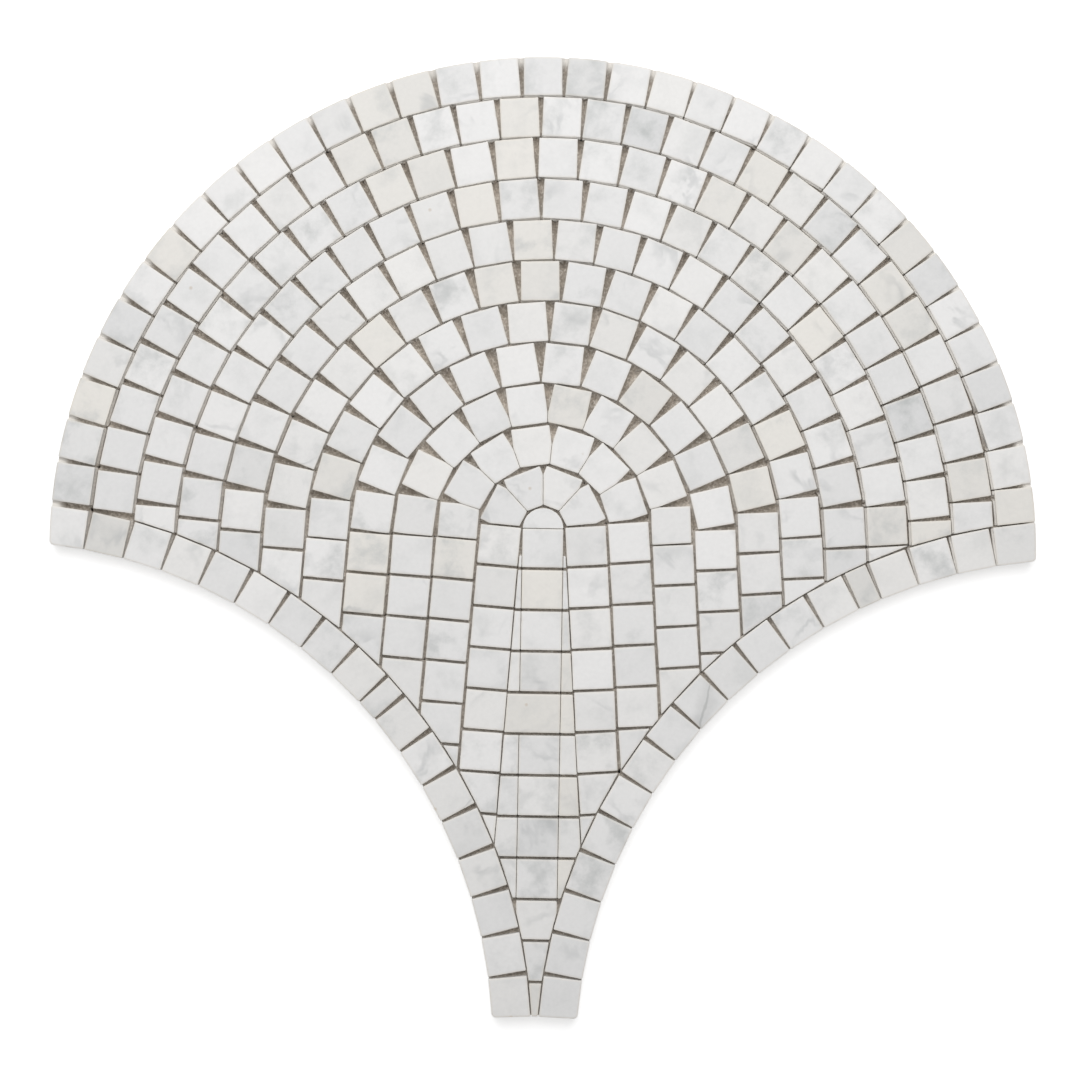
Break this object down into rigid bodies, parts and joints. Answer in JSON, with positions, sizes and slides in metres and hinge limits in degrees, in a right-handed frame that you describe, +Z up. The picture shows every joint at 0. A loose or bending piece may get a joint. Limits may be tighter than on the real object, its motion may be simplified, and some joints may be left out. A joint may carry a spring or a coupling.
{
  "type": "fish scale tile",
  "caption": "Fish scale shaped mosaic sheet of sawn white marble chips, laid in nested arches round a spine and glued on a net, for covering floors or walls in overlapping rows.",
  "frame": {"origin": "centre of the bounding box at the back of the net, which is the sheet's lowest face", "axes": "X runs across the fan, Y points from the tip to the crown, Z points up out of the face"},
  "size_m": [0.3842, 0.3744, 0.0108],
  "materials": {
    "marble": "white marble with faint grey clouds, sawn and honed matt",
    "net": "woven glass-fibre net soaked in dried grey-brown glue"
  },
  "bodies": {
    "root": {"arch_row_01": "marble", "arch_row_02": "marble", "arch_row_03": "marble", "arch_row_04": "marble", "arch_row_05": "marble", "arch_row_06": "marble", "arch_row_07": "marble", "arch_row_08": "marble", "arch_row_09": "marble", "arch_row_10": "marble", "rim_row": "marble", "left_edge_row": "marble", "right_edge_row": "marble", "spine_cap": "marble", "spine_row": "marble", "left_filler_strips": "marble", "right_filler_strips": "marble", "backing_net": "net"}
  },
  "joints": []
}
